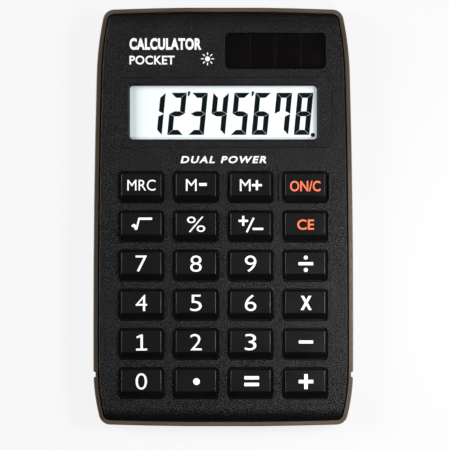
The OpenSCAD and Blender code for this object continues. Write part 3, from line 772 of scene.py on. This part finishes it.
def both(*drawings):
    """A legend made of several."""
    def draw(bm, x, y, top):
        for drawing in drawings:
            drawing(bm, x, y, top)
    return draw


def strokes(*lines):
    """A legend drawn with straight strokes: each is (width, (x, y), (x, y))."""
    def draw(bm, x, y, top):
        for layer, (width, (ax, ay), (bx, by)) in enumerate(lines):
            rounding = 0.3 * width
            length = math.hypot(bx - ax, by - ay) + 2 * rounding
            bar(bm, x + (ax + bx) / 2 * MM, y + (ay + by) / 2 * MM, length * MM, width * MM, top,
                math.atan2(by - ay, bx - ax), rounding * MM, layer)
    return draw


def digit(text):
    """A single numeral."""
    return words((text, 0.0, 0.55, 3.2, 4.55, -0.006))


LEGENDS = {
    "key_mrc": (WHITE, words(("MRC", 0.05, 0.55, 7.9, 3.05, 0.0))),
    "key_m_minus": (WHITE, both(
        words(("M", -1.3, 0.6, 3.0, 3.3, 0.0)),
        signs((1.95, 0.75, 2.15, 0.8, 0)))),
    "key_m_plus": (WHITE, both(
        words(("M", -1.5, 0.55, 3.0, 3.3, 0.0)),
        signs((1.75, 0.55, 2.8, 0.64, 0), (1.75, 0.55, 2.8, 0.64, 90)))),
    "key_on_c": (ORANGE, words(("ON/C", 0.0, 0.3, 8.5, 2.95, 0.016))),
    "key_square_root": (WHITE, strokes(
        (0.55, (-2.55, 0.1), (-2.05, 0.45)), (0.8, (-2.05, 0.35), (-1.4, -0.7)),
        (0.5, (-1.35, -0.75), (-0.65, 2.1)), (0.65, (-0.65, 2.15), (2.85, 2.15)))),
    "key_percent": (WHITE, words(("%", 0.05, 0.6, 5.1, 4.3, -0.006))),
    "key_plus_minus": (WHITE, signs(
        (-2.05, 1.55, 2.7, 0.62, 0), (-2.05, 1.55, 2.8, 0.62, 90),
        (-0.1, 0.4, 4.5, 0.52, 64), (2.05, -0.7, 3.0, 0.62, 0))),
    "key_ce": (ORANGE, words(("CE", 0.1, 0.5, 4.7, 2.9, 0.016))),
    "key_divide": (WHITE, signs(
        (0.15, 0.55, 4.1, 0.85, 0), dots=((0.15, 2.25, 0.56), (0.15, -1.2, 0.56)))),
    "key_times": (WHITE, words(("X", 0.25, 0.55, 3.1, 3.95, 0.045))),
    "key_minus": (WHITE, signs((0.2, 0.6, 4.0, 0.85, 0))),
    "key_point": (WHITE, signs(dots=((0.15, 0.5, 0.95),))),
    "key_equals": (WHITE, signs((0.3, 1.55, 4.1, 0.95, 0), (0.3, -0.3, 4.1, 0.95, 0))),
    "key_plus": (WHITE, signs((0.2, 0.5, 4.1, 0.98, 0), (0.2, 0.5, 4.2, 0.98, 90))),
}
for number in range(10):
    LEGENDS[f"key_{number}"] = (WHITE, digit(str(number)))
LEGENDS["key_1"] = (WHITE, strokes(
    (0.68, (0.1, -1.45), (0.1, 2.5)), (0.56, (-1.3, -1.5), (1.5, -1.5)),
    (0.56, (-1.15, 1.9), (-0.1, 2.4))))


def body_of_key(key):
    return next(name for name, members in BODIES.items() if key in members)


def finished_key(key):
    """A key with broken edges, and its legend."""
    body = body_of_key(key)
    softened_node(key, "key_plastic", KEY_ROUNDING, body, clamp=False)
    slot, draw = LEGENDS[key]
    place = middle(key)
    bm = bmesh.new()
    draw(bm, place.x, place.y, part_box(key)[1].z)
    make_piece(bm, f"{key}_legend", slot, body)


# ---- Printed marks on the face -----------------------------------------------

# Each line of words: left and right, low and high from the solar cell's middle, in millimetres, then
# boldness, slant in degrees and letter spacing
FACE_WORDS = {
    "CALCULATOR": (-26.2, -6.1, 0.25, 3.55, 0.045, 0, 1.08),
    "POCKET": (-26.2, -13.6, -3.85, -1.35, 0.022, 0, 1.05),
    "DUAL POWER": (-11.7, 12.3, -31.4, -29.4, 0.03, 14, 1.25),
}
SUN_X, SUN_DOWN = -4.4 * MM, 2.25 * MM
SUN_RADIUS = 0.7 * MM
RAYS = 8
RAY = (0.75 * MM, 0.28 * MM)
RAY_AWAY = 1.45 * MM
RAY_ROUNDING = 0.05 * MM


def printed_marks():
    """Plain words on the face: what the thing is, and what powers it."""
    top = FACE_UP - SKIN
    bm = bmesh.new()
    for text, (left, right, low, high, bold, slant, spacing) in FACE_WORDS.items():
        x, y = (left + right) / 2 * MM, solar.y + (low + high) / 2 * MM
        width, height = (right - left) * MM, (high - low) * MM
        join(bm, lettering(text, x, y, width, height, top, bold, math.radians(slant), spacing))
    make_piece(bm, "printed_words", WHITE)
    printed_sun(top)


def printed_sun(top):
    """A small sun beside the words."""
    y = solar.y - SUN_DOWN
    bm = bmesh.new()
    dot(bm, SUN_X, y, SUN_RADIUS, top)
    for ray in range(RAYS):
        turn = math.tau * ray / RAYS
        bar(bm, SUN_X + RAY_AWAY * math.cos(turn), y + RAY_AWAY * math.sin(turn), *RAY, top, turn,
            RAY_ROUNDING)
    make_piece(bm, "printed_sun", WHITE)


# ---- Display -----------------------------------------------------------------

DIGIT = (4.35 * MM, 11.8 * MM)
DIGIT_PITCH = 5.9 * MM
DIGIT_LEAN = math.radians(5.5)
LAST_DIGIT_X = 22.45 * MM
DIGITS_DOWN = 0.3 * MM
SEGMENT = 1.42 * MM
SEGMENT_GAP = 0.06 * MM
INK = 0.02 * MM
POINT = (25.05 * MM, 0.58 * MM)
MARKS_X = (-9.5 * MM, 8.35 * MM)
MARKS_UP = 5.6 * MM
MARK = (0.8 * MM, 1.3 * MM, INK)
MARK_SLANT = 0.25 * MM

NUMBER = "12345678"
LIT = {
    "1": "bc", "2": "abged", "3": "abgcd", "4": "fgbc", "5": "afgcd", "6": "afgedc", "7": "fabc",
    "8": "abcdefg",
}


def segment(bm, letter):
    """Adds one of a digit's seven bars, with its ends cut so that it meets the next one with a thin gap.

    A cut is a point on it and the direction of what it takes away.
    """
    half_w, half_h = DIGIT[0] / 2, DIGIT[1] / 2
    across = {"a": 1, "g": 0, "d": -1}
    upright = {"b": (1, 1), "c": (1, -1), "f": (-1, 1), "e": (-1, -1)}
    part = bmesh.new()
    if letter in across:
        up = across[letter]
        slab(part, (DIGIT[0], SEGMENT, INK), (0, up * (half_h - SEGMENT / 2), 0))
        if up:
            cuts = [((x * half_w, up * half_h), (x, -up)) for x in (-1, 1)]
        else:
            cuts = [((x * half_w, 0), (x, 2 * side)) for x in (-1, 1) for side in (-1, 1)]
    else:
        x, up = upright[letter]
        slab(part, (SEGMENT, half_h, INK), (x * (half_w - SEGMENT / 2), up * half_h / 2, 0))
        cuts = [((x * half_w, up * half_h), (-x, up)), ((x * half_w, 0), (-x, -2 * up))]
    for point, normal in cuts:
        away = Vector((*normal, 0)).normalized()
        bmesh.ops.bisect_plane(
            part, geom=everything(part), plane_co=Vector((*point, 0)) - away * SEGMENT_GAP / 2,
            plane_no=away, dist=MERGE / 10, clear_outer=True)
        bmesh.ops.holes_fill(part, edges=[e for e in part.edges if e.is_boundary], sides=0)
    join(bm, part)


def display_digits():
    """The number 12'345'678 in leaning seven-bar digits, on the display's front film."""
    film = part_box("front_polariser")[1].z
    digits_y = display.y - DIGITS_DOWN
    bm = bmesh.new()
    for place, number in enumerate(NUMBER):
        one = bmesh.new()
        for letter in LIT[number]:
            segment(one, letter)
        x = LAST_DIGIT_X - (len(NUMBER) - 1 - place) * DIGIT_PITCH
        matrix = Matrix.Translation((x, digits_y, film + INK)) @ leaning(DIGIT_LEAN)
        bmesh.ops.transform(one, matrix=matrix, verts=one.verts)
        join(bm, one)
    point_x, point_radius = POINT
    disc(bm, point_radius, film + INK / 2, film + 1.5 * INK, point_x, digits_y - DIGIT[1] / 2, 24)
    for x in MARKS_X:
        verts = slab(bm, MARK, (0, 0, 0))
        for v in verts:
            if v.co.y < 0:
                v.co.x = v.co.x / 2 - MARK_SLANT
        bmesh.ops.translate(bm, verts=verts, vec=(x, digits_y + MARKS_UP, film + INK))
    return make_piece(bm, "display_digits", "display_segments")


# ---- Solar cell and foam -----------------------------------------------------

SOLAR_ROUNDING = 0.08 * MM
STRIP = 7.05 * MM
STRIP_GAP = 0.22 * MM
STRIP_MARGIN = 0.3 * MM
LINE_THICKNESS = 0.02 * MM
LINE_LIFT = 0.011 * MM


def solar_cell():
    """The cell's glass, with three fine lines between its four strips."""
    low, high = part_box("solar_cell")
    softened_node("solar_cell", "solar_glass", SOLAR_ROUNDING)
    bm = bmesh.new()
    size = (STRIP_GAP, high.y - low.y - 2 * STRIP_MARGIN, LINE_THICKNESS)
    for line in (-1, 0, 1):
        slab(bm, size, (solar.x + line * STRIP, solar.y, high.z + LINE_LIFT))
    make_piece(bm, "solar_lines", "solar_glass", finish=SOLAR_LINES)


FOAM_CORNER = 1.0 * MM
FOAM_CUTS = (24, 10, 4)
FOAM_PULL = 0.35 * MM
FOAM_PORES = 0.05
FOAM_SIDE = 0.9


def solar_foam():
    """The foam pad that presses the cell against its window: crowned sides, flat faces."""
    low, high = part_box("solar_foam_pad")
    size, centre = high - low, (low + high) / 2
    bm = bmesh.new()
    slab(bm, size, centre, FOAM_CORNER, 3)
    for index, count in enumerate(FOAM_CUTS):
        axis = Matrix.Identity(3)[index]
        for step in range(1, count):
            at = Vector(low)
            at[index] += size[index] * step / count
            bmesh.ops.bisect_plane(bm, geom=everything(bm), plane_co=at, plane_no=axis, dist=MERGE)
    for v in bm.verts:
        height = (v.co.z - centre.z) / (size.z / 2)
        pull = FOAM_PULL * height * height + random.uniform(0, FOAM_PORES) * MM
        for index in (0, 1):
            away = v.co[index] - centre[index]
            if abs(away) > FOAM_SIDE * size[index] / 2:
                v.co[index] -= math.copysign(pull, away)
    foam = make_piece(bm, "solar_foam", "foam", stands_for=("solar_foam_pad",))


# ---- Rubber keypad -----------------------------------------------------------

DOME_RADII = (3.7 * MM, 2.3 * MM)
DOME_WALL = 0.5 * MM
DOME_LIP = 0.3 * MM
SHEET = 0.6 * MM
SHEET_CORNER = 1.5 * MM
PILL_RADIUS = 1.6 * MM
PILL_ROUNDING = 0.05 * MM
PIN_ROOM = 1.1 * MM


def spun_dome(bm, x, y, low, high):
    """Adds a hollow rubber dome, spun from its section: a foot, a sloping wall and a rounded crown."""
    foot, crown = DOME_RADII
    pill_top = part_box("carbon_pills")[1].z
    outline = [
        (foot - DOME_WALL, low + SHEET / 2), (foot, low + SHEET / 2),
        (foot - 0.05 * MM, low + SHEET + 0.1 * MM), (foot - 0.35 * MM, low + SHEET + 0.35 * MM),
        (crown + 0.25 * MM, high - 0.45 * MM),
        (crown, high - 0.25 * MM), (crown, high - 0.06 * MM), (crown - 0.06 * MM, high), (0, high),
    ]
    inside = [
        (0, pill_top), (PILL_RADIUS + DOME_LIP, pill_top),
        (foot - DOME_WALL - DOME_LIP, low + SHEET + 0.1 * MM),
    ]
    ring = [bm.verts.new((x + away, y, z)) for away, z in outline + inside]
    edges = [bm.edges.new(pair) for pair in zip(ring, ring[1:] + ring[:1])
             if not all(abs(v.co.x - x) < MERGE for v in pair)]
    bmesh.ops.spin(
        bm, geom=ring + edges, cent=(x, y, 0), axis=(0, 0, 1), angle=math.tau, steps=32, use_merge=True,
        use_duplicate=False)
    bmesh.ops.remove_doubles(bm, verts=bm.verts, dist=MERGE)
    bmesh.ops.recalc_face_normals(bm, faces=bm.faces)


def rubber_keypad():
    """The flat rubber sheet, and under each key a dome and a carbon pill."""
    low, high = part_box("rubber_keypad")
    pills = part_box("carbon_pills")
    shafts = bmesh.new()
    for key in KEYS:
        place = middle(key)
        disc(shafts, DOME_RADII[0] - DOME_WALL, low.z - SHEET, low.z + 2 * SHEET, place.x, place.y)
    base = bmesh.new()
    centre = (0, (low.y + high.y) / 2, low.z + SHEET / 2)
    slab(base, (high.x - low.x, high.y - low.y, SHEET), centre, SHEET_CORNER, 6)
    sheet = carve(base, [
        ("DIFFERENCE", plain_solid(shafts, "dome_rooms")),
        ("DIFFERENCE", plain_solid(pin_rooms(low.z), "pin_rooms")),
    ])
    make_piece(sheet, "rubber_sheet", "keypad_rubber", stands_for=("rubber_keypad",))
    for key in KEYS:
        place = middle(key)
        dome = bmesh.new()
        spun_dome(dome, place.x, place.y, low.z, high.z)
        piece = make_piece(dome, f"{key}_dome", "keypad_rubber")
        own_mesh(piece)
        pill = bmesh.new()
        disc(pill, PILL_RADIUS, pills[0].z, pills[1].z, place.x, place.y)
        soften(pill, PILL_ROUNDING)
        piece = make_piece(pill, f"{key}_pill", "carbon", stands_for=("carbon_pills",))
        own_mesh(piece)


def pin_rooms(level):
    """Solids that open the rubber sheet for the pins that hold the board."""
    bm = bmesh.new()
    columns = sorted({round(middle(key).x, 5) for key in KEYS})
    rows = sorted({round(middle(key).y, 5) for key in KEYS})
    between = [(columns[0] + columns[1]) / 2, (columns[2] + columns[3]) / 2]
    places = [(x, y) for x in between for y in ((rows[4] + rows[5]) / 2, (rows[0] + rows[1]) / 2)]
    places.append((0, (rows[2] + rows[3]) / 2))
    for x, y in places:
        disc(bm, PIN_ROOM, level - SHEET, level + 2 * SHEET, x, y, 24)
    return bm


# ---- The rest ----------------------------------------------------------------

# Each node's slot, and how much its edges are rounded, in millimetres; 0 leaves its mesh as it is
SOFTENED = {
    "case_screws": ("screw_steel", 0.08),
    "display_window": ("clear_window", 0.08),
    "front_polariser": ("display_face", 0.0),
    "front_glass": ("display_glass", 0.05),
    "rear_glass": ("display_glass", 0.05),
    "rear_reflector": ("reflector_foil", 0.0),
    "display_ribbon": ("ribbon_film", 0.0),
    "display_bracket": ("inner_plastic", 0.12),
    "bracket_screws": ("screw_steel", 0.06),
    "solar_lead_red": ("lead_red", 0.0),
    "solar_lead_black": ("lead_black", 0.0),
    "button_cell": ("cell_can", 0.25),
    "cell_holder": ("inner_plastic", 0.15),
    "cell_contact_plus": ("contact_metal", 0.04),
    "cell_contact_minus": ("contact_metal", 0.04),
    "cell_lead_red": ("lead_red", 0.0),
    "cell_lead_black": ("lead_black", 0.0),
    "main_board": ("board_laminate", 0.06),
    "contact_pads": ("carbon", 0.0),
    "controller_chip": ("black_resin", 0.0),
    "power_capacitor": ("capacitor_case", 0.2),
    "clamp_diode": ("black_resin", 0.12),
    "board_resistors": ("black_resin", 0.05),
}


def inner_parts():
    """Every other CAD node: a softened piece where it has hard edges, or its own mesh with its finish."""
    for node, (slot, width) in SOFTENED.items():
        if width:
            softened_node(node, slot, width * MM)
        else:
            NODES[node].data.materials.clear()
            NODES[node].data.materials.append(FINISHES[slot])


# ---- Room --------------------------------------------------------------------

CAMERA_X, CAMERA_Y = 0.34 * MM, -2.26 * MM
CAMERA_HEIGHT = 1.2
VIEW_HEIGHT = 125.7 * MM
SENSOR = 36.0
FLOOR_RADIUS = 3.0
FLOOR_GLOW = 0.835
WORLD_GLOW = 0.03

# Each light's place and size in metres, and its power in watts; they all face the origin
LIGHTS = {
    "top_box": ((0.0, 0.0, 1.6), 1.0, 0.80),
    "right_box": ((0.95, 0.20, 0.70), 0.6, 8.5),
    "left_box": ((-0.95, 0.20, 0.60), 0.6, 12.5),
    "far_box": ((0.1, 1.0, 0.5), 0.5, 0.6),
    "near_box": ((0.086, -0.030, 0.110), 0.03, 0.120),
}


def pale_floor():
    """A round white floor that glows a little and doesn't show in the gloss of the case."""
    bm = bmesh.new()
    bmesh.ops.create_circle(bm, cap_ends=True, segments=64, radius=FLOOR_RADIUS)
    floor = plain_solid(bm, "floor")
    paint = Paint("floor_paint", emission_strength=FLOOR_GLOW, specular_ior_level=0.0)
    cloud = paint.noise(0.4, 2.0)
    floor.data.materials.append(paint.finish(
        base_color=paint.mix(cloud, (0.10, 0.10, 0.10), (0.103, 0.103, 0.103)),
        emission_color=(1.0, 1.0, 1.0), roughness=0.9))
    floor.visible_glossy = False


def studio_light():
    """A faint white world and soft square lights."""
    world = bpy.data.worlds.new("studio")
    bpy.context.scene.world = world
    world.use_nodes = True
    sky = world.node_tree.nodes["Background"].inputs
    sky["Color"].default_value = (1, 1, 1, 1)
    sky["Strength"].default_value = WORLD_GLOW
    for name, (place, size, power) in LIGHTS.items():
        light = bpy.data.lights.new(name, "AREA")
        light.shape = "SQUARE"
        light.size = size
        light.energy = power
        lamp = in_scene(name, light)
        lamp.location = place
        lamp.visible_camera = False
        lamp.rotation_euler = (-Vector(place)).to_track_quat("-Z", "Y").to_euler()


def camera_above():
    """A camera that looks straight down."""
    lens = bpy.data.cameras.new("camera")
    lens.sensor_width = SENSOR
    lens.lens = SENSOR * CAMERA_HEIGHT / VIEW_HEIGHT
    camera = in_scene("camera", lens)
    camera.location = (CAMERA_X, CAMERA_Y, FACE_UP + CAMERA_HEIGHT)
    bpy.context.scene.camera = camera
    bpy.context.scene.view_settings.view_transform = "Standard"


finished_front()
finished_rear()
back_label()
guard_ribs()
for key in KEYS:
    finished_key(key)
printed_marks()
display_digits()
solar_cell()
solar_foam()
rubber_keypad()
inner_parts()
pale_floor()
studio_light()
camera_above()
